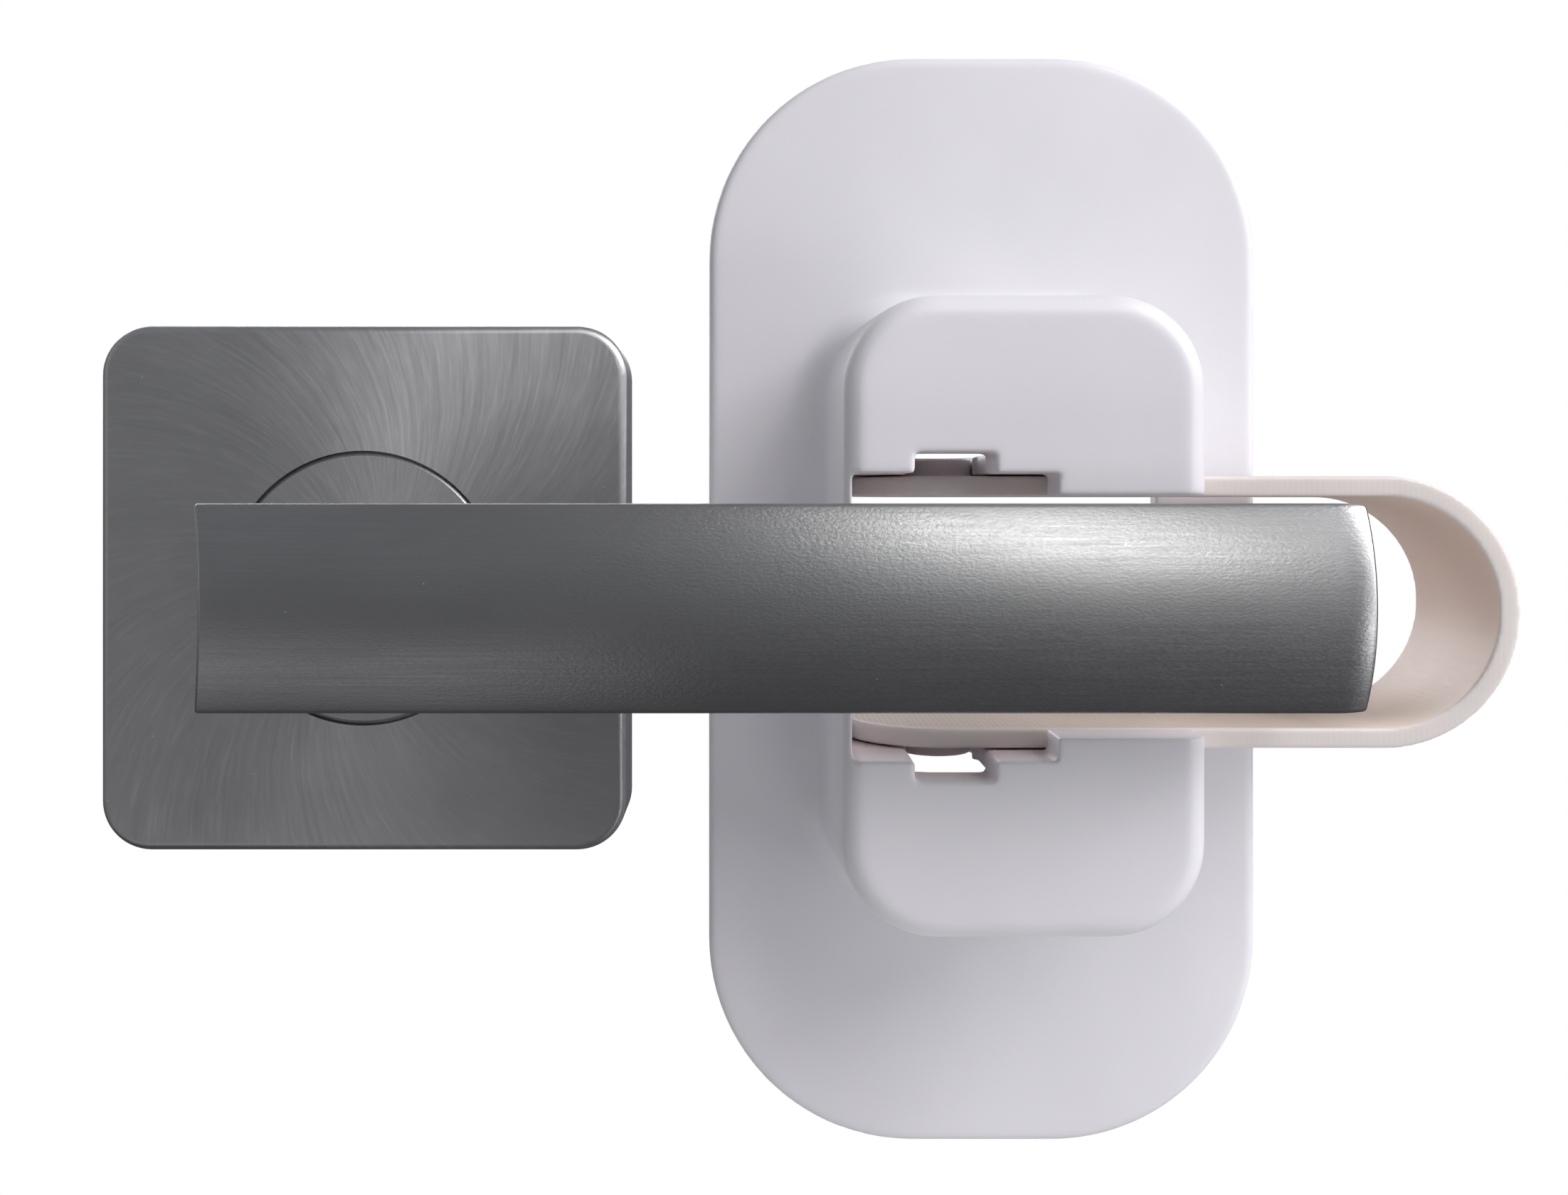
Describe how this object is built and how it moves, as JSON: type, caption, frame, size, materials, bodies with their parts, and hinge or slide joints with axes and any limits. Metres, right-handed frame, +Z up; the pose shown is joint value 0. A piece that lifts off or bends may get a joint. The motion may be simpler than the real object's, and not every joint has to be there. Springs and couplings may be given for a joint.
{
  "type": "door lever handle with child safety lever lock",
  "caption": "Brushed lever handle on a square sprung rosette, with an adhesive safety lock whose squeeze loop swings out round the lever to block it.",
  "frame": {"origin": "where the spindle's axis crosses the door face", "axes": "+X along the lever towards its tip, +Z up, -Y off the door into the room"},
  "size_m": [0.1628, 0.093, 0.135],
  "materials": {
    "brushed_nickel": "satin nickel, brushed",
    "zinc_casting": "die-cast zinc, as cast",
    "spring_steel": "bright drawn",
    "plated_steel": "zinc plated",
    "black_steel": "black oxide",
    "brass": "machined",
    "nylon": "moulded, natural",
    "white_abs": "moulded, semi-gloss white",
    "white_nylon": "moulded, satin white",
    "foam_tape": "closed-cell acrylic foam tape"
  },
  "bodies": {
    "door_side": {"rosette_cover": "brushed_nickel", "mounting_plate": "zinc_casting", "cover_clips": "spring_steel", "neck_bush": "nylon", "thrust_washer": "nylon", "return_spring": "spring_steel", "spring_cap": "plated_steel", "through_bolts": "plated_steel", "lock_base": "white_abs", "adhesive_tape": "foam_tape"},
    "lever": {"lever_handle": "brushed_nickel", "collar_ring": "brushed_nickel", "spindle": "plated_steel", "grub_screw": "black_steel", "spring_driver": "brass", "wave_washer": "spring_steel", "retaining_ring": "black_steel"},
    "loop": {"squeeze_loop": "white_nylon"}
  },
  "joints": [
    {"name": "lever_turn", "type": "hinge", "parent": "door_side", "child": "lever", "pos_m": [0, 0, 0], "axis": [0, -1, 0], "range_deg": [-45, 0], "stiffness_Nm_per_rad": 0.6, "springref_deg": 45.84, "deforming": ["return_spring"]},
    {"name": "loop_swing", "type": "hinge", "parent": "door_side", "child": "loop", "pos_m": [0.0682, -0.016, -0.0017], "axis": [0, 0, -1], "range_deg": [0, 90], "deforming": ["squeeze_loop"]}
  ]
}
